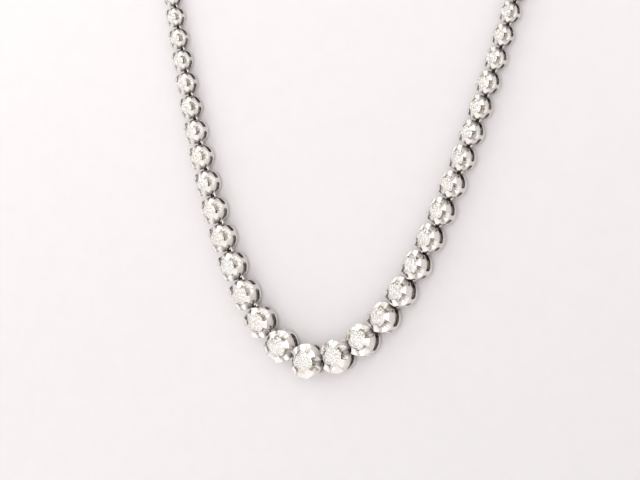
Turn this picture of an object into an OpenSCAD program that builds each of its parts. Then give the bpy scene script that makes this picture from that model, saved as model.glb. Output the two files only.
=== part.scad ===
// Graduated diamond necklace: one hinged row of round claw cups, each with a brilliant-cut stone.
// Millimetres, +Z up, the front faces -Y. The origin is at the nape, on the inner face of the clasp.
// The row is mirrored left and right. A link is numbered by its place from the centre link, which is 0.

/* [Row] */
// Diameter of the centre link's cup
centre_d = 6; // [5.6:0.1:6.4]
// Each link's diameter as a share of the one nearer the centre
taper = 0.962; // [0.958:0.001:0.966]
// Diameter of the cups round the back, where the taper ends
back_d = 3.36; // [3.3:0.02:3.6]
// Links on each side of the centre link
side_links = 56; // [50:1:58]
// Gap between the cups of two links in line
link_gap = 0.28; // [0.26:0.01:0.34]

/* [Hang] */
// Links on each side that hang in the flat front
front_links = 15; // [13:1:17]
// Sideways pull in the hanging front, in weights of the centre link
side_pull = 1.96; // [1.8:0.02:2.2]
// Power of its size that a link's weight follows
weight_power = 2.7; // [2.4:0.1:3]
// How fast the row levels out on its way round the neck
level_power = 1.5; // [1.3:0.1:1.7]
// How late the row turns on its way round the neck
turn_power = 0.966; // [0.96:0.002:1]

/* [Cup, as shares of its diameter] */
// Height from the base to the claw tips
cup_h = 0.7; // [0.68:0.01:0.72]
// Height of the widest circle
belly_h = 0.41; // [0.4:0.01:0.42]
// Radius of the dome between the widest circle and the claws
dome_r = 0.36; // [0.35:0.01:0.37]
// Outer radius of the base ring
base_r = 0.43; // [0.425:0.005:0.44]
// Inner radius of the base ring
base_bore_r = 0.28; // [0.27:0.01:0.285]
// Radius of the bore round the stone
bore_r = 0.335; // [0.335:0.005:0.34]
// Radius where the claws end over the stone
claw_r = 0.25; // [0.25:0.005:0.26]
// Turn of the dome from the widest circle to the claws' outer edge, in degrees
dome_turn = 44; // [42:1:46]
// Height where the side slots begin
slot_z = 0.13; // [0.12:0.01:0.14]
// Height of the side slots
slot_h = 0.2; // [0.19:0.01:0.21]
// Width of the posts between the slots
post_w = 0.15; // [0.13:0.01:0.16]
// Height of the middle of the notches between the claws
notch_z = 0.67; // [0.66:0.01:0.68]
// Half the width of the notches between the claws
notch_r = 0.19; // [0.17:0.005:0.195]

/* [Hinge] */
// Distance of the hinge pin from the cup's axis, as a share of the diameter
pin_place = 0.36; // [0.355:0.005:0.365]
// Radius of the hinge pin, as a share of the diameter
pin_r = 0.06; // [0.055:0.005:0.065]
// Gap round the pin in its eyelet
pin_gap = 0.12; // [0.12:0.01:0.14]
// Width of metal round the eyelet's hole
eyelet_wall = 0.24; // [0.2:0.01:0.26]
// Thickness of the eyelet, as a share of the diameter
eyelet_h = 0.09; // [0.08:0.005:0.1]
// Width of the tongue that carries the eyelet, as a share of the diameter
tongue_w = 0.12; // [0.1:0.01:0.14]

/* [Stone, as shares of the cup's diameter] */
// Radius of the girdle
girdle_r = 0.3; // [0.29:0.005:0.3]
// Height of the girdle's lower edge above the base
girdle_z = 0.6; // [0.59:0.005:0.605]
// Height of the girdle
girdle_h = 0.014; // [0.01:0.002:0.016]
// Radius of the table
table_r = 0.17; // [0.15:0.01:0.18]
// Height of the crown above the girdle
crown_h = 0.08; // [0.07:0.005:0.082]
// Depth of the pavilion below the girdle
pavilion_h = 0.255; // [0.24:0.005:0.26]

/* [Clasp] */
// Width of the clasp
clasp_w = 3.4; // [3:0.1:4]
// Height of the clasp off the neck
clasp_h = 2.2; // [1.8:0.1:2.4]
// Gap between the clasp and the cup at each end
clasp_gap = 0.35; // [0.3:0.05:0.5]

/* [Hidden] */
main_links = 9;
dome_bands = 2;
table_sides = 8;
girdle_sides = 2 * table_sides;
tongue_let_in = 0.05;
past = 1;
sides = ["left", "right"];
metal = "gainsboro";
gem = "lightcyan";
$fn = 48;

// Size and weight of link k, and the weight that hangs from its outer end
function size(k) = max(back_d, centre_d * pow(taper, k));
function weight(k) = pow(size(k) / centre_d, weight_power);
function hung(k) = k == 0 ? weight(0) / 2 : hung(k - 1) + weight(k);

// The way of link k: its rise above level, and its turn round the neck, which is 0 along the front.
// heading() points along the row, away from the centre link, and face() points out of the stone's table.
function beyond_front(k) = (k - front_links) / (side_links - front_links);
function hanging_rise(k) = k == 0 ? 0 : atan((hung(k) - weight(k) / 2) / side_pull);
function rise(k) = k <= front_links ? hanging_rise(k)
    : hanging_rise(front_links) * pow(1 - beyond_front(k), level_power);
function turn(k) = k <= front_links ? 0 : 180 * pow(beyond_front(k), turn_power);
function heading(k) = [cos(rise(k)) * cos(turn(k)), cos(rise(k)) * sin(turn(k)), sin(rise(k))];
function face(k) = [sin(turn(k)), -cos(turn(k)), 0];

// Link k turns on the pin at the outer end of link k - 1, and carries the next pin at its own outer end.
// The pins are stepped through at eyelet_level above the cups' bases, so that a turned eyelet stays
// true on its pin.
function pin_from_axis(k) = pin_place * size(k);
function eyelet_from_axis(k) = (size(k - 1) + size(k)) / 2 + link_gap - pin_from_axis(k - 1);
function length_between_pins(k) = k == 0 ? pin_from_axis(0) : eyelet_from_axis(k) + pin_from_axis(k);
function pins_from(k, start) =
    let (pin = start + length_between_pins(k) * heading(k))
    k == side_links ? [pin] : concat([pin], pins_from(k + 1, pin));
pins = pins_from(0, [0, 0, 0]);
last_pin = pins[side_links];
eyelet_level = (slot_z + slot_h / 2) * back_d;
nape = [0, last_pin.y - eyelet_level, last_pin.z];
function axis_point(k) = pins[k] - pin_from_axis(k) * heading(k) - eyelet_level * face(k) - nape;

function eyelet_hole_r(pin_size) = pin_r * pin_size + pin_gap;
function eyelet_r(pin_size) = eyelet_hole_r(pin_size) + eyelet_wall;
function eyelet_z(d) = (slot_z + slot_h / 2 - eyelet_h / 2) * d;

// Stands a link, drawn flat with its face up and the row along X, at its place on one side
module at_link(k, side) {
    mirror([side == "left" ? 1 : 0, 0, 0])
        translate(axis_point(k))
            rotate([90, 0, turn(k)])
                rotate([0, 0, rise(k)])
                    children();
}

// Half section of the cup of diameter 1: a tapered foot, a dome, and claw tips that fall outwards
module cup_section() {
    base_edge = 0.03;
    floor_z = 0.36;
    claw_lip = 0.015;
    seat_h = 0.065;
    claw_tip_r = 0.5 - dome_r * (1 - cos(dome_turn));
    claw_tip_z = belly_h + dome_r * sin(dome_turn);
    polygon(concat(
        [[base_bore_r, 0], [base_r - base_edge, 0], [base_r, base_edge]],
        [for (i = [0 : dome_bands])
            let (a = dome_turn * i / dome_bands)
            [0.5 - dome_r * (1 - cos(a)), belly_h + dome_r * sin(a)]],
        [
            [claw_r, cup_h], [claw_r, cup_h - claw_lip], [bore_r, cup_h - seat_h],
            [bore_r, belly_h], [base_bore_r, floor_z]
        ]
    ));
}

// Four notches that part the claws, and slots that leave upright posts at the given angles
module cup_cuts(d, post_angles) {
    notch_sides = 8;
    for (a = [0, 90, 180, 270])
        rotate([0, 0, a])
            translate([0, 0, notch_z * d])
                rotate([0, 90, 0])
                    rotate([0, 0, 180 / notch_sides])
                        cylinder(h = d, r = notch_r * d / cos(180 / notch_sides), $fn = notch_sides);
    difference() {
        translate([0, 0, slot_z * d])
            cylinder(h = slot_h * d, r = d);
        for (a = post_angles)
            rotate([0, 0, a])
                translate([0, -post_w * d / 2, 0])
                    cube([d, post_w * d, d]);
    }
}

module cup(d, post_angles) {
    difference() {
        rotate_extrude()
            scale(d)
                cup_section();
        cup_cuts(d, post_angles);
    }
}

// Upright pin at the outer end, let into the base ring and the wall above the slots
module pin(d) {
    let_in = 0.02;
    translate([pin_place * d, 0, (slot_z - let_in) * d])
        cylinder(h = (slot_h + 2 * let_in) * d, r = pin_r * d);
}

// Flat tongue along -X with an eyelet for the pin of a cup of diameter pin_size
module eyelet(from, to, d, pin_size) {
    translate([0, 0, eyelet_z(d)])
        difference() {
            union() {
                translate([-to, -tongue_w * d / 2, 0])
                    cube([to - from, tongue_w * d, eyelet_h * d]);
                translate([-to, 0, 0])
                    cylinder(h = eyelet_h * d, r = eyelet_r(pin_size));
            }
            translate([-to, 0, -past])
                cylinder(h = eyelet_h * d + 2 * past, r = eyelet_hole_r(pin_size));
        }
}

module setting(k) {
    d = size(k);
    color(metal) {
        pin(d);
        if (k == 0) {
            cup(d, [90, 270]);
            mirror([1, 0, 0])
                pin(d);
        } else {
            cup(d, [90, 180, 270]);
            eyelet((base_r - tongue_let_in) * d, eyelet_from_axis(k), d, size(k - 1));
        }
    }
}

function ring(count, r, z) = [for (a = [0 : 360 / count : 359]) [r * cos(a), r * sin(a), z]];

// Brilliant: an octagonal table, 24 crown facets, a girdle of 16 sides and 16 pavilion facets
module stone(k) {
    d = size(k);
    table = 0;
    top = table_sides;
    low = top + girdle_sides;
    culet = low + girdle_sides;
    color(gem)
        polyhedron(
            points = d * concat(
                ring(table_sides, table_r, girdle_z + girdle_h + crown_h),
                ring(girdle_sides, girdle_r, girdle_z + girdle_h),
                ring(girdle_sides, girdle_r, girdle_z),
                [[0, 0, girdle_z - pavilion_h]]
            ),
            faces = concat(
                [[for (i = [table_sides - 1 : -1 : 0]) table + i]],
                [for (i = [0 : table_sides - 1]) [table + i, table + (i + 1) % table_sides, top + 2 * i + 1]],
                [for (i = [0 : table_sides - 1]) [table + i, top + 2 * i + 1, top + 2 * i]],
                [for (i = [0 : table_sides - 1])
                    [table + i, top + 2 * i, top + (2 * i - 1 + girdle_sides) % girdle_sides]],
                [for (j = [0 : girdle_sides - 1])
                    [top + j, top + (j + 1) % girdle_sides, low + (j + 1) % girdle_sides, low + j]],
                [for (j = [0 : girdle_sides - 1]) [low + j, low + (j + 1) % girdle_sides, culet]]
            )
        );
}

// The links past the main ones, which run round the neck to the clasp
module strand_settings(side) {
    for (k = [main_links + 1 : side_links])
        at_link(k, side)
            setting(k);
}

module strand_stones(side) {
    for (k = [main_links + 1 : side_links])
        at_link(k, side)
            stone(k);
}

// Plain bar with round ends across the nape, with an eyelet on the last pin of each side
module clasp() {
    bar_end = last_pin.x + pin_from_axis(side_links) - back_d / 2 - clasp_gap;
    color(metal)
        rotate([90, 0, 180]) {
            translate([clasp_w / 2 - bar_end, -clasp_w / 2, 0])
                cube([2 * bar_end - clasp_w, clasp_w, clasp_h]);
            for (a = [0, 180])
                rotate([0, 0, a]) {
                    translate([bar_end - clasp_w / 2, 0, 0])
                        cylinder(h = clasp_h, r = clasp_w / 2);
                    eyelet(bar_end - tongue_let_in * back_d, last_pin.x, back_d, back_d);
                }
        }
}

at_link(0, "right") setting(0);  // setting_centre
at_link(0, "right") stone(0);  // stone_centre
for (side = sides, k = [1 : main_links]) {
    at_link(k, side) setting(k);
    at_link(k, side) stone(k);
}
for (side = sides) {
    strand_settings(side);
    strand_stones(side);
}
clasp();
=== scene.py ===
import math

import bmesh
import bpy
from mathutils import Matrix, Quaternion, Vector


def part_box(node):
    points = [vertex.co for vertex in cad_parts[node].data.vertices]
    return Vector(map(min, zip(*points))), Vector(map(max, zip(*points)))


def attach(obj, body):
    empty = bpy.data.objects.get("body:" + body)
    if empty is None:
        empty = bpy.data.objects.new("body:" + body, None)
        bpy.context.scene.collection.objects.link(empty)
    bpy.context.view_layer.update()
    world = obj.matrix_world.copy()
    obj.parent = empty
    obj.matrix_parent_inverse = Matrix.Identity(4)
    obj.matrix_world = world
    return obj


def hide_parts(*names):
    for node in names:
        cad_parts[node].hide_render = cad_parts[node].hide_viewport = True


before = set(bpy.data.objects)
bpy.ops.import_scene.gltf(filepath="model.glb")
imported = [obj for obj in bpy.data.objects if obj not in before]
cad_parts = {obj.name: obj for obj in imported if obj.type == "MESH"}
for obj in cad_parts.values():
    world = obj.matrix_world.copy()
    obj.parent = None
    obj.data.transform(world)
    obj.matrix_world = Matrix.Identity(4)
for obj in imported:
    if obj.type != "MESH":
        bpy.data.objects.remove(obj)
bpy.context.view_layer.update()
scene = bpy.context.scene
MM = 0.001

# The view
# The front of the necklace is seen from 34 degrees round to the right and a little above, from
# 300 mm away, with a long lens and the camera turned a few degrees on its axis.
azimuth = math.radians(33.67)
elevation = math.radians(6.92)
camera_roll = math.radians(3.0)
camera_distance = 302.3 * MM
focal_length_px = 1780.2
picture_width_px = 640
sensor_mm = 36
nearest_seen, farthest_seen = 10 * MM, 20
aim_left_of_centre_link = 0.2 * MM
aim_above_centre_link = 20.6 * MM

centre_low, centre_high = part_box("setting_centre")
front_base_y = centre_high.y
centre_link_z = (centre_low.z + centre_high.z) / 2


def way_of(azimuth_of_way, elevation_of_way):
    """The way towards something that lies round to the right of the front and above it."""
    return Vector((math.sin(azimuth_of_way) * math.cos(elevation_of_way),
                   -math.cos(azimuth_of_way) * math.cos(elevation_of_way),
                   math.sin(elevation_of_way)))


aim = Vector((-aim_left_of_centre_link, front_base_y, centre_link_z + aim_above_centre_link))
towards_camera = way_of(azimuth, elevation)
camera = bpy.data.objects.new("camera", bpy.data.cameras.new("camera"))
camera.data.sensor_width = sensor_mm
camera.data.lens = focal_length_px / picture_width_px * sensor_mm
camera.data.clip_start = nearest_seen
camera.data.clip_end = farthest_seen
camera.location = aim + towards_camera * camera_distance
camera.rotation_mode = "QUATERNION"
camera.rotation_quaternion = ((-towards_camera).to_track_quat("-Z", "Y")
                              @ Quaternion((0, 0, 1), camera_roll))
scene.collection.objects.link(camera)
scene.camera = camera

# The white card and the floor
# A sheet of plain white card stands just behind the hanging front and takes its shadows. It is
# see-through from behind. The floor is a pale light table, which lights the claws from below.
card_gap = 0.15 * MM
card_left, card_right = -84 * MM, 68 * MM
card_top = -64 * MM
floor_z = -166 * MM
floor_half = 1.5
card_colour, floor_colour = (0.73, 0.712, 0.721), (0.8, 0.79, 0.79)
# The card's colour is painted lighter towards its upper left and darker towards its lower right, as
# painted light falloff; the floor's is even.
card_painted_falloff, no_painted_falloff = (-0.4, 0, 0.95), (0, 0, 0)
floor_glow = 0.6
fibre_scale, fibre_detail = 350, 5
fibre_start, fibre_end, fibre_shade = 0.3, 0.6, 0.985
quarter_turn = math.radians(90)


def bare_piece(name, shape):
    """Makes a piece of a modelled shape, which stands where it was modelled."""
    mesh = bpy.data.meshes.new(name)
    shape.to_mesh(mesh)
    shape.free()
    piece = bpy.data.objects.new(name, mesh)
    scene.collection.objects.link(piece)
    return piece


def finished_piece(name, shape, material, smooth_below=None):
    """A piece in its material, smooth across edges that bend less than the angle given."""
    piece = bare_piece(name, shape)
    piece.data.materials.append(material)
    if smooth_below is not None:
        piece.data.shade_smooth()
        piece.data.set_sharp_from_angle(angle=smooth_below)
    return piece


def new_material(name):
    """An empty material, with its tree, its output and a place on the piece for the patterns."""
    material = bpy.data.materials.new(name)
    material.use_nodes = True
    tree = material.node_tree
    tree.nodes.clear()
    output = tree.nodes.new("ShaderNodeOutputMaterial")
    place = tree.nodes.new("ShaderNodeTexCoord")
    return material, tree, output, place


def noise(tree, place, scale, detail):
    """An uneven pattern of soft spots, smaller with a larger scale."""
    spots = tree.nodes.new("ShaderNodeTexNoise")
    spots.inputs["Scale"].default_value = scale
    spots.inputs["Detail"].default_value = detail
    tree.links.new(place.outputs["Object"], spots.inputs["Vector"])
    return spots


def two_tints(tree, pattern, start, start_colour, end, end_colour):
    """Colours a pattern from one tint to another between two of its values."""
    tints = tree.nodes.new("ShaderNodeValToRGB")
    tints.color_ramp.elements[0].position = start
    tints.color_ramp.elements[0].color = (*start_colour, 1)
    tints.color_ramp.elements[1].position = end
    tints.color_ramp.elements[1].color = (*end_colour, 1)
    tree.links.new(pattern.outputs["Fac"], tints.inputs["Fac"])
    return tints


def paper(name, colour, painted_falloff, glow, one_sided):
    """Matt paper with faint fibres, its colour painted darker from the aim along a vector, in shares per
    metre, as painted light falloff.

    It can glow softly, and its back can be see-through.
    """
    material, tree, output, place = new_material(name)
    matt = tree.nodes.new("ShaderNodeBsdfPrincipled")
    matt.inputs["Roughness"].default_value = 1
    matt.inputs["Specular IOR Level"].default_value = 0
    fibres = noise(tree, place, fibre_scale, fibre_detail)
    shaded_colour = [fibre_shade * c for c in colour]
    tints = two_tints(tree, fibres, fibre_start, shaded_colour, fibre_end, colour)
    # Painted light falloff: the fibres' colour is scaled by a share that changes along the vector from
    # the aim.
    from_aim = tree.nodes.new("ShaderNodeVectorMath")
    from_aim.operation = "SUBTRACT"
    from_aim.inputs[1].default_value = aim
    along = tree.nodes.new("ShaderNodeVectorMath")
    along.operation = "DOT_PRODUCT"
    along.inputs[1].default_value = painted_falloff
    share = tree.nodes.new("ShaderNodeMath")
    share.inputs[1].default_value = 1
    falloff_darkened = tree.nodes.new("ShaderNodeVectorMath")
    falloff_darkened.operation = "SCALE"
    tree.links.new(place.outputs["Object"], from_aim.inputs[0])
    tree.links.new(from_aim.outputs["Vector"], along.inputs[0])
    tree.links.new(along.outputs["Value"], share.inputs[0])
    tree.links.new(tints.outputs["Color"], falloff_darkened.inputs[0])
    tree.links.new(share.outputs["Value"], falloff_darkened.inputs["Scale"])
    tree.links.new(falloff_darkened.outputs["Vector"], matt.inputs["Base Color"])
    tree.links.new(tints.outputs["Color"], matt.inputs["Emission Color"])
    matt.inputs["Emission Strength"].default_value = glow
    if one_sided:
        clear = tree.nodes.new("ShaderNodeBsdfTransparent")
        side = tree.nodes.new("ShaderNodeNewGeometry")
        either = tree.nodes.new("ShaderNodeMixShader")
        tree.links.new(side.outputs["Backfacing"], either.inputs["Fac"])
        tree.links.new(matt.outputs["BSDF"], either.inputs[1])
        tree.links.new(clear.outputs["BSDF"], either.inputs[2])
        tree.links.new(either.outputs["Shader"], output.inputs["Surface"])
    else:
        tree.links.new(matt.outputs["BSDF"], output.inputs["Surface"])
    return material


card_mesh = bmesh.new()
bmesh.ops.create_grid(card_mesh, x_segments=1, y_segments=1, size=0.5)
card_size = Matrix.Diagonal((card_right - card_left, card_top - floor_z, 1, 1))
card_middle = Vector(((card_left + card_right) / 2, front_base_y + card_gap, (card_top + floor_z) / 2))
card_mesh.transform(Matrix.Translation(card_middle) @ Matrix.Rotation(quarter_turn, 4, "X") @ card_size)
card_paper = paper("card_paper", card_colour, card_painted_falloff, glow=0, one_sided=True)
card = finished_piece("white_card", card_mesh, card_paper)

floor_mesh = bmesh.new()
bmesh.ops.create_grid(floor_mesh, x_segments=1, y_segments=1, size=floor_half)
floor_mesh.transform(Matrix.Translation((0, 0, floor_z)))
floor_paper = paper("floor_paper", floor_colour, no_painted_falloff, glow=floor_glow, one_sided=False)
floor = finished_piece("floor", floor_mesh, floor_paper)

# The light
# A soft window stands to the upper left. The room is brightest in front to the right, with a
# smaller bright patch in front to the left and one at the far left. The light table is below.
window_azimuth = math.radians(-48)
window_elevation = math.radians(38)
window_distance = 420 * MM
window_size = 320 * MM
window_power = 0.35
window_colour = (1, 0.99, 0.97)
room_tone = (0.46, 0.43, 0.41)
# Each patch has an azimuth, an elevation, a full and an outer radius in degrees, and a colour.
room_patches = ((-48, 4, 16, 34, (1.15, 1.14, 1.13)),
                (33, 8, 28, 56, (1.85, 1.83, 1.81)),
                (-98, 25, 14, 30, (1.5, 1.48, 1.46)))

window_way = way_of(window_azimuth, window_elevation)
window = bpy.data.objects.new("window", bpy.data.lights.new("window", "AREA"))
window.data.size = window_size
window.data.energy = window_power
window.data.color = window_colour
window.location = aim + window_way * window_distance
window.rotation_mode = "QUATERNION"
window.rotation_quaternion = (-window_way).to_track_quat("-Z", "Y")
scene.collection.objects.link(window)

room = bpy.data.worlds.new("room")
room.use_nodes = True
scene.world = room
room_tree = room.node_tree
room_tree.nodes.clear()
room_output = room_tree.nodes.new("ShaderNodeOutputWorld")
room_light = room_tree.nodes.new("ShaderNodeBackground")
room_way = room_tree.nodes.new("ShaderNodeTexCoord")
tone = room_tree.nodes.new("ShaderNodeRGB")
tone.outputs["Color"].default_value = (*room_tone, 1)
lit = tone.outputs["Color"]
for azimuth_deg, elevation_deg, full_deg, outer_deg, patch_colour in room_patches:
    nearness = room_tree.nodes.new("ShaderNodeVectorMath")
    nearness.operation = "DOT_PRODUCT"
    nearness.inputs[1].default_value = way_of(math.radians(azimuth_deg), math.radians(elevation_deg))
    share = room_tree.nodes.new("ShaderNodeMapRange")
    share.interpolation_type = "SMOOTHSTEP"
    share.inputs["From Min"].default_value = math.cos(math.radians(outer_deg))
    share.inputs["From Max"].default_value = math.cos(math.radians(full_deg))
    brighter = room_tree.nodes.new("ShaderNodeMix")
    brighter.data_type = "RGBA"
    brighter.inputs["B"].default_value = (*patch_colour, 1)
    room_tree.links.new(room_way.outputs["Generated"], nearness.inputs[0])
    room_tree.links.new(nearness.outputs["Value"], share.inputs["Value"])
    room_tree.links.new(share.outputs["Result"], brighter.inputs["Factor"])
    room_tree.links.new(lit, brighter.inputs["A"])
    lit = brighter.outputs["Result"]
room_tree.links.new(lit, room_light.inputs["Color"])
room_tree.links.new(room_light.outputs["Background"], room_output.inputs["Surface"])
scene.view_settings.view_transform = "Standard"

# The row
# The necklace is one row of round links, hinged to each other, that get smaller from the centre
# link outwards. Its front hangs flat, and beyond that it goes back round the neck to the clasp.
# Millimetres
centre_diameter = 6.0
back_diameter = 3.36
link_gap = 0.28
# Shares of a cup's diameter
pin_place = 0.36
slot_low, slot_high = 0.13, 0.33
roll_level = 0.5
# Counts of links on a side, and how the row narrows, hangs, turns and rolls
side_links = 56
front_links = 15
main_links = 9
taper = 0.962
side_pull = 1.96
weight_power = 2.7
level_power = 1.5
turn_power = 0.966
first_full_roll, last_full_roll, first_level = 3, 15, 25
full_roll = {"left": math.radians(6.5), "right": math.radians(-15)}

eyelet_level = (slot_low + slot_high) / 2 * back_diameter


def size_of(k):
    """A link's diameter in millimetres, where link 0 is the centre one."""
    return max(back_diameter, centre_diameter * taper ** k)


def weight_of(k):
    """A link's weight as a share of the centre link's."""
    return (size_of(k) / centre_diameter) ** weight_power


def hanging_rise(k):
    """How steeply a link of the front hangs, from the weight between it and the centre."""
    hung = weight_of(0) / 2 + sum(weight_of(j) for j in range(1, k)) + weight_of(k) / 2
    return math.atan(hung / side_pull) if k else 0.0


def beyond_front(k):
    """How far round the neck a link is, from 0 at the end of the front to 1 at the clasp."""
    return max(0, k - front_links) / (side_links - front_links)


def rise_of(k):
    """How steeply the row rises at a link. It levels out towards the clasp."""
    return hanging_rise(min(k, front_links)) * (1 - beyond_front(k)) ** level_power


def turn_of(k):
    """How far the row has turned from the front, half a turn at the clasp."""
    return math.pi * beyond_front(k) ** turn_power


def heading_of(k):
    """The way along the row at a link of the right side."""
    rise, turn = rise_of(k), turn_of(k)
    return Vector((math.cos(rise) * math.cos(turn), math.cos(rise) * math.sin(turn), math.sin(rise)))


def face_of(k):
    """The way that a link's stone faces."""
    return Vector((math.sin(turn_of(k)), -math.cos(turn_of(k)), 0))


def eyelet_from_axis(k):
    """How far from its own axis a link reaches for the neighbour's pin."""
    return (size_of(k - 1) + size_of(k)) / 2 + link_gap - pin_place * size_of(k - 1)


pins = [pin_place * size_of(0) * heading_of(0)]
for k in range(1, side_links + 1):
    pins.append(pins[-1] + (eyelet_from_axis(k) + pin_place * size_of(k)) * heading_of(k))
last_pin = pins[-1]
nape = Vector((0, last_pin.y - eyelet_level, last_pin.z))


def roll_of(k, side):
    """How far a link has rolled about the line of its pins, which gives a little."""
    to_level = (k - last_full_roll) / (first_level - last_full_roll)
    return full_roll[side] * min(1, k / first_full_roll) * (1 - min(1, max(0, to_level)))


def place_of(k, side):
    """The place of a link that is drawn flat in millimetres, face up, with the row along X.

    The nape is the origin, and the left side is the right one mirrored.
    """
    axis = pins[k] - pin_place * size_of(k) * heading_of(k) - eyelet_level * face_of(k) - nape
    level = roll_level * size_of(k)
    place = (Matrix.Scale(MM, 4) @ Matrix.Translation(axis) @ Matrix.Rotation(turn_of(k), 4, "Z")
             @ Matrix.Rotation(quarter_turn, 4, "X") @ Matrix.Rotation(rise_of(k), 4, "Z")
             @ Matrix.Translation((0, 0, level)) @ Matrix.Rotation(roll_of(k, side), 4, "X")
             @ Matrix.Translation((0, 0, -level)))
    if side == "left":
        place = Matrix.Scale(-1, 4, (1, 0, 0)) @ place @ Matrix.Scale(-1, 4, (0, 1, 0))
    return place


# The cups
# Each link's cup is cast in white gold, turned and polished: a base ring, an open gallery, a round
# belly and four claws, parted by flared notches and bent over the stone. A hinge pin is let into
# its outer end, and a tongue is soldered to the inner one, with an eyelet for the neighbour's pin.
claws = 4
centre_posts, link_posts = (90, 270), (90, 180, 270)
near_fineness, strand_fineness = 2, 1
# Shares of the cup's diameter, and angles
base_bore = 0.28
base_outside = 0.45
base_edge = 0.015
belly_radius = 0.5
belly_height = 0.41
dome_radius = 0.65
dome_turn = math.radians(19)
foot_bulge = 0.008
claw_end = 0.28
claw_lip = 0.035
claw_seat = 0.065
bore = 0.345
cup_height = 0.7
blank_height = 0.74
bore_floor = 0.35
seat_height, seat_foot = 0.55, 0.44
seat_bore, seat_lip = 0.2, 0.39
facet_slope = math.radians(29.4)
notch_height = 0.67
notch_start, notch_flare = 0.024, 0.508
notch_depth, notch_deepening = 0.15, 0.25
slot_rounding = 0.07
post_half = math.radians(9.5)
cutter_inside, cutter_outside = 0.2, 0.62
cutter_below_base = 0.1
edge_width = 0.007
weld_distance = 0.0015
level_tolerance = 1e-6
# Where shade is painted on the cup: the slots, the bore below the claws, and the walls that face a
# neighbour at a joint
slot_shade_depth, slot_shade_margin = 0.007, 0.02
bore_shade_radius, bore_shade_depth = 0.37, 0.04
claw_shade_height, claw_shade_depth = 0.6, 0.08
joint_shade_start, joint_shade_depth = 0.39, 0.04
joint_shade_half, joint_shade_side = 0.16, 0.09
joint_shade_height, joint_shade_top = 0.5, 0.06
pin_radius = 0.06
pin_let_in = 0.02
eyelet_thickness = 0.09
tongue_width = 0.12
tongue_let_in = 0.05
lug_width, lug_low, lug_high = 0.2, 0.07, 0.19
lug_start, lug_end = 0.44, 0.58
lug_rounding = 0.018
# Shares of the eyelet's thickness
eyelet_rounding, tongue_thickness = 0.2, 0.98
# Millimetres
pin_gap, eyelet_wall = 0.12, 0.24
# Steps of round shapes at a fineness of 1, and angles above which edges are rounded or look sharp
foot_steps, dome_steps = 2, 3
ring_steps, notch_sides = 32, 16
pin_sides, eyelet_steps = 8, 16
slot_step = math.radians(15)
polished_edge_angle = math.radians(32)
square_edge_angle = math.radians(60)
smooth_limit = math.radians(30)
# The metal
gold_grey, gold_bright = (0.78, 0.75, 0.715), (0.84, 0.818, 0.787)
ripple_scale, ripple_detail, ripple_depth, ripple_strength = 700, 1, 0.05 * MM, 0.1
mark_scale, mark_detail = 2600, 3
pattern_from, pattern_to = 0.3, 0.7
polished_roughness, worn_roughness = 0.13, 0.22
# Painted shade: the near-black colour that shaded places are darkened towards, and how far the slots,
# bore, pins and tongues are darkened; these places are also duller
painted_shade_colour, recess_roughness = (0.045, 0.035, 0.03), 0.5
slot_painted_shade, bore_painted_shade, pin_painted_shade, tongue_painted_shade = 0.35, 0.04, 0.8, 1.0


def foot_radius(share):
    """The foot's outside, from the base ring's edge (share 0) up to the belly (share 1)."""
    return base_outside + (belly_radius - base_outside) * share + foot_bulge * math.sin(math.pi * share)


def section_of_cup(fineness):
    """Half section of a cup, from the base's edge up over the claws and down the bore."""
    foot = []
    for i in range(foot_steps * fineness + 1):
        share = i / (foot_steps * fineness)
        foot.append((foot_radius(share), base_edge + (belly_height - base_edge) * share))
    dome = []
    for i in range(1, dome_steps * fineness + 1):
        turn = dome_turn * i / (dome_steps * fineness)
        dome.append((belly_radius - dome_radius * (1 - math.cos(turn)),
                     belly_height + dome_radius * math.sin(turn)))
    inside = [(claw_end, blank_height), (claw_end, cup_height - claw_lip), (bore, cup_height - claw_seat),
              (bore, seat_height), (seat_bore, seat_foot), (seat_bore, seat_lip), (base_bore, bore_floor),
              (base_bore, 0)]
    return [(base_outside - base_edge, 0)] + foot + dome + inside


def turned_ring(section, steps):
    """A closed ring, turned from the corners (radius, height) of its section."""
    ring = bmesh.new()
    corners = [ring.verts.new((r, 0, z)) for r, z in section]
    edges = [ring.edges.new((corners[i], corners[i - 1])) for i in range(len(corners))]
    bmesh.ops.spin(ring, geom=corners + edges, cent=(0, 0, 0), axis=(0, 0, 1), angle=math.tau,
                   steps=steps, use_merge=True)
    bmesh.ops.recalc_face_normals(ring, faces=ring.faces)
    return ring


def facet_pyramid():
    """A flat pyramid whose four faces are the claws' flat tops. It holds all of the cup below them."""
    height = cup_height + claw_end * math.tan(facet_slope) + cutter_below_base
    pyramid = bmesh.new()
    bmesh.ops.create_cone(pyramid, cap_ends=True, segments=claws, depth=height,
                          radius1=height / math.tan(facet_slope) * math.sqrt(2), radius2=0)
    pyramid.transform(Matrix.Translation((0, 0, height / 2 - cutter_below_base)))
    return pyramid


def notch_cutter(fineness):
    """Four flared plugs, which cut the notches between the claws."""
    cutter = bmesh.new()
    for i in range(claws):
        plug = bmesh.ops.create_cone(cutter, cap_ends=True, segments=notch_sides * fineness,
                                     radius1=notch_start + notch_flare * cutter_inside,
                                     radius2=notch_start + notch_flare * cutter_outside,
                                     depth=cutter_outside - cutter_inside)
        for vert in plug["verts"]:
            radius = (cutter_inside + cutter_outside) / 2 + vert.co.z
            vert.co.x *= (notch_depth + notch_deepening * radius) / (notch_start + notch_flare * radius)
        place = (Matrix.Rotation(quarter_turn * i, 4, "Z")
                 @ Matrix.Translation(((cutter_inside + cutter_outside) / 2, 0, notch_height))
                 @ Matrix.Rotation(quarter_turn, 4, "Y"))
        bmesh.ops.transform(cutter, matrix=place, verts=plug["verts"])
    return cutter


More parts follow.
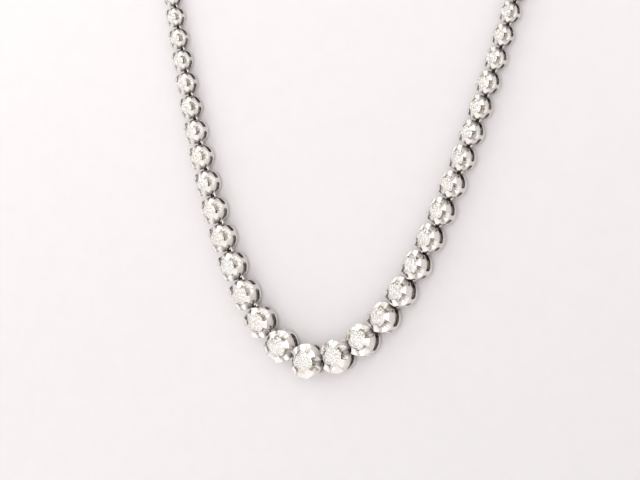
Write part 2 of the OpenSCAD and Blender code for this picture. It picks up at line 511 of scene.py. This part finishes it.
def slot_cutter(post_angles, fineness):
    """Arcs with round ends between the posts, which open the gallery."""
    cutter = bmesh.new()
    for i, post in enumerate(post_angles):
        following = post_angles[(i + 1) % len(post_angles)]
        start = math.radians(post) + post_half
        sweep = math.radians((following - post) % 360) - 2 * post_half
        section = ((cutter_inside, slot_low), (cutter_outside, slot_low),
                   (cutter_outside, slot_high), (cutter_inside, slot_high))
        corners = [cutter.verts.new((r, 0, z)) for r, z in section]
        blank = cutter.faces.new(corners)
        bmesh.ops.rotate(cutter, verts=corners, matrix=Matrix.Rotation(start, 3, "Z"))
        spun = bmesh.ops.spin(cutter, geom=[blank], cent=(0, 0, 0), axis=(0, 0, 1), angle=sweep,
                              steps=round(sweep / slot_step * fineness))
        ends = [blank] + [g for g in spun["geom_last"] if isinstance(g, bmesh.types.BMFace)]
        radial = [e for f in ends if f.is_valid for e in f.edges
                  if abs(e.verts[0].co.z - e.verts[1].co.z) < level_tolerance]
        bmesh.ops.bevel(cutter, geom=radial, offset=slot_rounding, offset_type="OFFSET",
                        segments=1 + 2 * fineness, profile=0.5, affect="EDGES", material=-1,
                        clamp_overlap=False)
    bmesh.ops.recalc_face_normals(cutter, faces=cutter.faces)
    return cutter


def share_within(distance, full_distance):
    """From 0 at the edge of an area to 1 at the full distance inside it."""
    return min(1, max(0, distance / full_distance))


def painted_shade_at(x, y, height):
    """How much shade is painted on a place of the cup, and how dull it is made there, from 0 to 1."""
    radius = math.hypot(x, y)
    if slot_low - slot_shade_margin < height < slot_high + slot_shade_margin:
        wall = foot_radius((height - base_edge) / (belly_height - base_edge))
        return slot_painted_shade * share_within(wall - radius, slot_shade_depth)
    below_claws = share_within(claw_shade_height - height, claw_shade_depth)
    inside = share_within(bore_shade_radius - radius, bore_shade_depth)
    at_joint = (share_within(abs(x) - joint_shade_start, joint_shade_depth)
                * share_within(joint_shade_half - abs(y), joint_shade_side)
                * share_within(joint_shade_height - height, joint_shade_top))
    return max(bore_painted_shade * inside * below_claws, at_joint)


def mark_painted_shade(shape, value=None):
    """Keeps the painted shade with the shape, for the metal's darkened colour and its roughness."""
    painted_shade_and_dullness = shape.verts.layers.float.get("painted_shade_and_dullness") or shape.verts.layers.float.new("painted_shade_and_dullness")
    for vert in shape.verts:
        vert[painted_shade_and_dullness] = painted_shade_at(*vert.co) if value is None else value


def finished_cup(post_angles, fineness):
    """A cup of diameter 1 with its claws, notches and slots cut and its edges polished round."""
    blank = bare_piece("cup_blank", turned_ring(section_of_cup(fineness), ring_steps * fineness))
    pyramid = bare_piece("claw_tops", facet_pyramid())
    notches = bare_piece("notches", notch_cutter(fineness))
    slots = bare_piece("slots", slot_cutter(post_angles, fineness))
    for cutter, operation in ((pyramid, "INTERSECT"), (notches, "DIFFERENCE"), (slots, "DIFFERENCE")):
        cut = blank.modifiers.new(cutter.name, "BOOLEAN")
        cut.object = cutter
        cut.operation = operation
        cut.solver = "EXACT"
    weld = blank.modifiers.new("weld", "WELD")
    weld.merge_threshold = weld_distance
    polish = blank.modifiers.new("polish", "BEVEL")
    polish.width = edge_width
    polish.segments = fineness
    polish.limit_method = "ANGLE"
    polish.angle_limit = polished_edge_angle
    shape = bmesh.new()
    shape.from_object(blank, bpy.context.evaluated_depsgraph_get())
    bmesh.ops.triangulate(shape, faces=[f for f in shape.faces if len(f.verts) > 4])
    for used in (blank, pyramid, notches, slots):
        bpy.data.objects.remove(used)
    # Shade is painted into the slots, the bore below the claws and the walls at the joints.
    mark_painted_shade(shape)
    return shape


def white_gold():
    """Polished metal with faint cast ripples and wheel marks. Shade is painted dark into it, and it is
    duller, where the shape holds painted shade.
    """
    material, tree, output, place = new_material("white_gold")
    metal = tree.nodes.new("ShaderNodeBsdfPrincipled")
    metal.inputs["Metallic"].default_value = 1
    painted_shade_and_dullness = tree.nodes.new("ShaderNodeAttribute")
    painted_shade_and_dullness.attribute_name = "painted_shade_and_dullness"
    marks = noise(tree, place, mark_scale, mark_detail)
    ripples = noise(tree, place, ripple_scale, ripple_detail)
    tints = two_tints(tree, ripples, pattern_from, gold_grey, pattern_to, gold_bright)
    # Painted shade: the ripples' colour is darkened towards the shade colour by the painted shade share.
    shaded = tree.nodes.new("ShaderNodeMix")
    shaded.data_type = "RGBA"
    shaded.inputs["B"].default_value = (*painted_shade_colour, 1)
    finish = tree.nodes.new("ShaderNodeMapRange")
    finish.inputs["From Min"].default_value = pattern_from
    finish.inputs["From Max"].default_value = pattern_to
    finish.inputs["To Min"].default_value = polished_roughness
    finish.inputs["To Max"].default_value = worn_roughness
    dulled = tree.nodes.new("ShaderNodeMix")
    dulled.inputs["B"].default_value = recess_roughness
    bump = tree.nodes.new("ShaderNodeBump")
    bump.inputs["Strength"].default_value = ripple_strength
    bump.inputs["Distance"].default_value = ripple_depth
    tree.links.new(painted_shade_and_dullness.outputs["Fac"], shaded.inputs["Factor"])
    tree.links.new(tints.outputs["Color"], shaded.inputs["A"])
    tree.links.new(shaded.outputs["Result"], metal.inputs["Base Color"])
    tree.links.new(marks.outputs["Fac"], finish.inputs["Value"])
    tree.links.new(painted_shade_and_dullness.outputs["Fac"], dulled.inputs["Factor"])
    tree.links.new(finish.outputs["Result"], dulled.inputs["A"])
    tree.links.new(dulled.outputs["Result"], metal.inputs["Roughness"])
    tree.links.new(ripples.outputs["Fac"], bump.inputs["Height"])
    tree.links.new(bump.outputs["Normal"], metal.inputs["Normal"])
    tree.links.new(metal.outputs["BSDF"], output.inputs["Surface"])
    return material


def add_shape(target, source):
    """Adds a copy of one shape to another."""
    carrier = bpy.data.meshes.new("carrier")
    source.to_mesh(carrier)
    target.from_mesh(carrier)
    bpy.data.meshes.remove(carrier)


def add_pin(target, d, fineness, turned=0):
    """The upright hinge pin of a cup of diameter d, let into the metal below and above the slot."""
    pin = bmesh.new()
    bmesh.ops.create_cone(pin, cap_ends=True, segments=pin_sides * fineness, radius1=pin_radius * d,
                          radius2=pin_radius * d, depth=(slot_high - slot_low + 2 * pin_let_in) * d,
                          matrix=Matrix.Rotation(turned, 4, "Z")
                          @ Matrix.Translation((pin_place * d, 0, (slot_low + slot_high) / 2 * d)))
    # The pin is painted dark with shade, as it stands in the shade of the slot.
    mark_painted_shade(pin, pin_painted_shade)
    add_shape(target, pin)
    pin.free()


def add_eyelet(target, start, reach, d, neighbour_d, steps):
    """A flat tongue, from its start to where it reaches the neighbour's pin with an eyelet."""
    hole = pin_radius * neighbour_d + pin_gap
    outside = hole + eyelet_wall
    thickness = eyelet_thickness * d
    middle = (slot_low + slot_high) / 2 * d
    rounding = eyelet_rounding * thickness
    ring = turned_ring([(hole, -thickness / 2), (outside, -thickness / 2), (outside, thickness / 2),
                        (hole, thickness / 2)], steps)
    bmesh.ops.bevel(ring, geom=[e for e in ring.edges if e.calc_face_angle(0) > square_edge_angle],
                    offset=rounding, segments=1, profile=0.5, affect="EDGES", material=-1)
    ring.transform(Matrix.Translation((-reach, 0, middle)))
    tongue = bmesh.new()
    inner = reach - hole - eyelet_wall / 2
    size = (inner - start, tongue_width * d, tongue_thickness * thickness, 1)
    bmesh.ops.create_cube(tongue, size=1)
    tongue.transform(Matrix.Translation((-(inner + start) / 2, 0, middle)) @ Matrix.Diagonal(size))
    bmesh.ops.bevel(tongue, geom=tongue.edges[:], offset=rounding, segments=1, profile=0.5,
                    affect="EDGES", material=-1)
    # The tongue and eyelet are painted near-black with shade, as they lie in the shade between two cups.
    for part in (ring, tongue):
        mark_painted_shade(part, tongue_painted_shade)
        add_shape(target, part)
        part.free()


def add_lug(target, d):
    """The bright lug under the tongue, which keeps the base rings of two neighbours apart."""
    lug = bmesh.new()
    bmesh.ops.create_cube(lug, size=1)
    size = Vector((lug_end - lug_start, lug_width, lug_high - lug_low)) * d
    lug.transform(Matrix.Translation((-(lug_start + lug_end) / 2 * d, 0, (lug_low + lug_high) / 2 * d))
                  @ Matrix.Diagonal((*size, 1)))
    bmesh.ops.bevel(lug, geom=lug.edges[:], offset=lug_rounding * d, segments=1, profile=0.5,
                    affect="EDGES", material=-1)
    mark_painted_shade(lug, 0)
    add_shape(target, lug)
    lug.free()


def link_shape(k, cup, fineness):
    """One link in millimetres: its cup and pin, and its tongue, eyelet and lug or a second pin."""
    d = size_of(k)
    shape = cup.copy()
    shape.transform(Matrix.Scale(d, 4))
    add_pin(shape, d, fineness)
    if k:
        add_eyelet(shape, (base_outside - tongue_let_in) * d, eyelet_from_axis(k), d, size_of(k - 1),
                   eyelet_steps * fineness)
        add_lug(shape, d)
    else:
        add_pin(shape, d, fineness, math.pi)
    return shape


gold = white_gold()
centre_cup = finished_cup(centre_posts, near_fineness)
near_cup = finished_cup(link_posts, near_fineness)
strand_cup = finished_cup(link_posts, strand_fineness)

centre = link_shape(0, centre_cup, near_fineness)
centre.transform(place_of(0, "right"))
cup = finished_piece("cup_centre", centre, gold, smooth_limit)
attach(cup, "root")
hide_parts("setting_centre")

for side in ("left", "right"):
    for k in range(1, main_links + 1):
        link = link_shape(k, near_cup, near_fineness)
        link.transform(place_of(k, side))
        cup = finished_piece(f"cup_{side}_{k}", link, gold, smooth_limit)
        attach(cup, "root")
        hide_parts(f"setting_{side}_{k}")
    strand = bmesh.new()
    for k in range(main_links + 1, side_links + 1):
        link = link_shape(k, strand_cup, strand_fineness)
        link.transform(place_of(k, side))
        add_shape(strand, link)
        link.free()
    cups = finished_piece(f"strand_cups_{side}", strand, gold, smooth_limit)
    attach(cups, "root")
    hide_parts(f"strand_settings_{side}")

# The stones
# Each cup holds one round brilliant-cut diamond with 57 facets and a ground girdle. It rests on the
# seat in the cup, at a turn of its own, and the four claws are bent over its crown.
girdle_radius = 0.325
girdle_low, girdle_high = 0.6, 0.614
table_corner = 0.17
table_height = 0.694
culet_height = 0.345
star_reach = 0.5
lower_half_reach = 0.77
girdle_sides, bezels = 64, 8
half_step = math.radians(22.5)
quarter_step = math.radians(11.25)
cut_tolerance = 1e-7
stone_turn = math.radians(137.5)
diamond_ior = 2.417
clearest_tint, warmest_tint = (1, 0.99, 0.965), (1, 0.965, 0.92)
warmth_scale, warmth_detail = 300, 2
warmth_from, warmth_to = 0.4, 0.65
speck_scale, speck_detail = 4200, 2
speck_from, speck_to = 0.4, 0.65
least_cloud, most_cloud = 0.1, 0.65
cell_scale = 2200
sparkle_strength, sparkle_depth = 0.7, 0.1 * MM
glint_strength, glint_depth = 1, 0.2 * MM
glint_share, glint_roughness = 0.4, 0.08


def cut_facet(stone, azimuth_of_facet, inner, outer):
    """Cuts off what lies outside a plane through two points (radius, height) that faces an azimuth."""
    along = Vector((math.cos(azimuth_of_facet), math.sin(azimuth_of_facet), 0))
    (r0, z0), (r1, z1) = inner, outer
    normal = Vector((0, 0, 1)) * (r1 - r0) + along * (z0 - z1)
    if z0 < z1:
        normal = -normal
    cut = bmesh.ops.bisect_plane(stone, geom=stone.verts[:] + stone.edges[:] + stone.faces[:],
                                 dist=cut_tolerance, plane_co=along * r0 + Vector((0, 0, z0)),
                                 plane_no=normal, clear_outer=True)
    rim = [g for g in cut["geom_cut"] if isinstance(g, bmesh.types.BMEdge)]
    bmesh.ops.contextual_create(stone, geom=rim)


def brilliant():
    """A round brilliant for a cup of diameter 1: table, 8 stars, 8 bezels, 8 mains and 32 halves."""
    stone = bmesh.new()
    bmesh.ops.create_cone(stone, cap_ends=True, segments=girdle_sides, radius1=girdle_radius,
                          radius2=girdle_radius, depth=table_height - culet_height,
                          matrix=Matrix.Translation((0, 0, (table_height + culet_height) / 2)))
    bezel = (table_height - girdle_high) / (girdle_radius - table_corner)
    table_edge = table_corner * math.cos(half_step)
    star_tip = table_edge + star_reach * (girdle_radius - table_edge)
    star_height = table_height - (star_tip * math.cos(half_step) - table_corner) * bezel
    main = (girdle_low - culet_height) / girdle_radius
    ridge = girdle_radius * (1 - lower_half_reach)
    ridge_height = culet_height + ridge * math.cos(half_step) * main
    chord = math.cos(quarter_step)
    for i in range(bezels):
        kite = i * 2 * half_step
        cut_facet(stone, kite, (table_corner, table_height), (girdle_radius, girdle_high))
        cut_facet(stone, kite + half_step, (table_edge, table_height), (star_tip, star_height))
        cut_facet(stone, kite, (0, culet_height), (girdle_radius, girdle_low))
        for half in (-quarter_step, quarter_step):
            cut_facet(stone, kite + half, (star_tip * chord, star_height),
                      (girdle_radius * chord, girdle_high))
            cut_facet(stone, kite + half, (ridge * chord, ridge_height),
                      (girdle_radius * chord, girdle_low))
    return stone


def diamond():
    """Clear diamond with a faint warm tint, clouds of tiny inclusions, and glints off its facets."""
    material, tree, output, place = new_material("diamond")
    clear = tree.nodes.new("ShaderNodeBsdfGlass")
    clear.inputs["IOR"].default_value = diamond_ior
    clear.inputs["Roughness"].default_value = 0
    cloud = tree.nodes.new("ShaderNodeBsdfDiffuse")
    glints = tree.nodes.new("ShaderNodeBsdfGlossy")
    glints.inputs["Roughness"].default_value = glint_roughness
    specks = noise(tree, place, speck_scale, speck_detail)
    warmth = noise(tree, place, warmth_scale, warmth_detail)
    tints = two_tints(tree, warmth, warmth_from, clearest_tint, warmth_to, warmest_tint)
    cloudiness = tree.nodes.new("ShaderNodeMapRange")
    cloudiness.inputs["From Min"].default_value = speck_from
    cloudiness.inputs["From Max"].default_value = speck_to
    cloudiness.inputs["To Min"].default_value = least_cloud
    cloudiness.inputs["To Max"].default_value = most_cloud
    cells = tree.nodes.new("ShaderNodeTexVoronoi")
    cells.inputs["Scale"].default_value = cell_scale
    tree.links.new(place.outputs["Object"], cells.inputs["Vector"])
    for shader, strength, depth in ((clear, sparkle_strength, sparkle_depth),
                                    (glints, glint_strength, glint_depth)):
        uneven = tree.nodes.new("ShaderNodeBump")
        uneven.inputs["Strength"].default_value = strength
        uneven.inputs["Distance"].default_value = depth
        tree.links.new(cells.outputs["Distance"], uneven.inputs["Height"])
        tree.links.new(uneven.outputs["Normal"], shader.inputs["Normal"])
    for shader in (clear, cloud, glints):
        tree.links.new(tints.outputs["Color"], shader.inputs["Color"])
    mixed = tree.nodes.new("ShaderNodeMixShader")
    with_glints = tree.nodes.new("ShaderNodeMixShader")
    with_glints.inputs["Fac"].default_value = glint_share
    tree.links.new(specks.outputs["Fac"], cloudiness.inputs["Value"])
    tree.links.new(cloudiness.outputs["Result"], mixed.inputs["Fac"])
    tree.links.new(clear.outputs["BSDF"], mixed.inputs[1])
    tree.links.new(cloud.outputs["BSDF"], mixed.inputs[2])
    tree.links.new(mixed.outputs["Shader"], with_glints.inputs[1])
    tree.links.new(glints.outputs["BSDF"], with_glints.inputs[2])
    tree.links.new(with_glints.outputs["Shader"], output.inputs["Surface"])
    return material


clear_stone = diamond()
unit_stone = brilliant()


def placed_stone(k, side, number):
    """The stone of a link, turned by as many turns of a stone as its number says."""
    stone = unit_stone.copy()
    stone.transform(place_of(k, side) @ Matrix.Scale(size_of(k), 4)
                    @ Matrix.Rotation(number * stone_turn, 4, "Z"))
    return stone


stone = finished_piece("brilliant_centre", placed_stone(0, "right", 0), clear_stone)
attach(stone, "root")
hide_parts("stone_centre")
for number, side in enumerate(("left", "right")):
    for k in range(1, main_links + 1):
        shape = placed_stone(k, side, 2 * k + number)
        stone = finished_piece(f"brilliant_{side}_{k}", shape, clear_stone)
        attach(stone, "root")
        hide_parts(f"stone_{side}_{k}")
    strand = bmesh.new()
    for k in range(main_links + 1, side_links + 1):
        small = placed_stone(k, side, 2 * k + number)
        add_shape(strand, small)
        small.free()
    stones = finished_piece(f"strand_brilliants_{side}", strand, clear_stone)
    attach(stones, "root")
    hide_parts(f"strand_stones_{side}")

# The clasp
# Two plain white gold halves with round ends push together into one bar at the nape. Each half
# is cast, polished and soldered to an eyelet, which goes round the last pin of its side.
clasp_width, clasp_height, clasp_gap = 3.4, 2.2, 0.35
clasp_edge, clasp_seam = 0.22, 0.04
clasp_end_steps, clasp_edge_steps, clasp_eyelet_steps = 20, 4, 32

bar_end = last_pin.x + pin_place * size_of(side_links) - back_diameter / 2 - clasp_gap


def clasp_half():
    """One half in millimetres, drawn flat from the seam to its eyelet."""
    half = bmesh.new()
    middle_of_end = bar_end - clasp_width / 2
    outline = [(-clasp_seam / 2, clasp_width / 2)]
    for i in range(clasp_end_steps + 1):
        turn = math.pi * (0.5 + i / clasp_end_steps)
        outline.append((clasp_width / 2 * math.cos(turn) - middle_of_end,
                        clasp_width / 2 * math.sin(turn)))
    outline.append((-clasp_seam / 2, -clasp_width / 2))
    bottom = half.faces.new([half.verts.new((x, y, 0)) for x, y in outline])
    raised = bmesh.ops.extrude_face_region(half, geom=[bottom])
    bmesh.ops.translate(half, verts=[g for g in raised["geom"] if isinstance(g, bmesh.types.BMVert)],
                        vec=(0, 0, clasp_height))
    bmesh.ops.recalc_face_normals(half, faces=half.faces)
    bmesh.ops.bevel(half, geom=[e for e in half.edges if e.calc_face_angle(0) > square_edge_angle],
                    offset=clasp_edge, segments=clasp_edge_steps, profile=0.5, affect="EDGES",
                    material=-1)
    mark_painted_shade(half, 0)
    add_eyelet(half, bar_end - tongue_let_in * back_diameter, last_pin.x, back_diameter, back_diameter,
               clasp_eyelet_steps)
    return half


bar = bmesh.new()
for turned in (0, math.pi):
    half = clasp_half()
    half.transform(Matrix.Scale(MM, 4) @ Matrix.Rotation(math.pi + turned, 4, "Z")
                   @ Matrix.Rotation(quarter_turn, 4, "X"))
    add_shape(bar, half)
    half.free()
clasp_bar = finished_piece("clasp_bar", bar, gold, smooth_limit)
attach(clasp_bar, "root")
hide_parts("clasp")
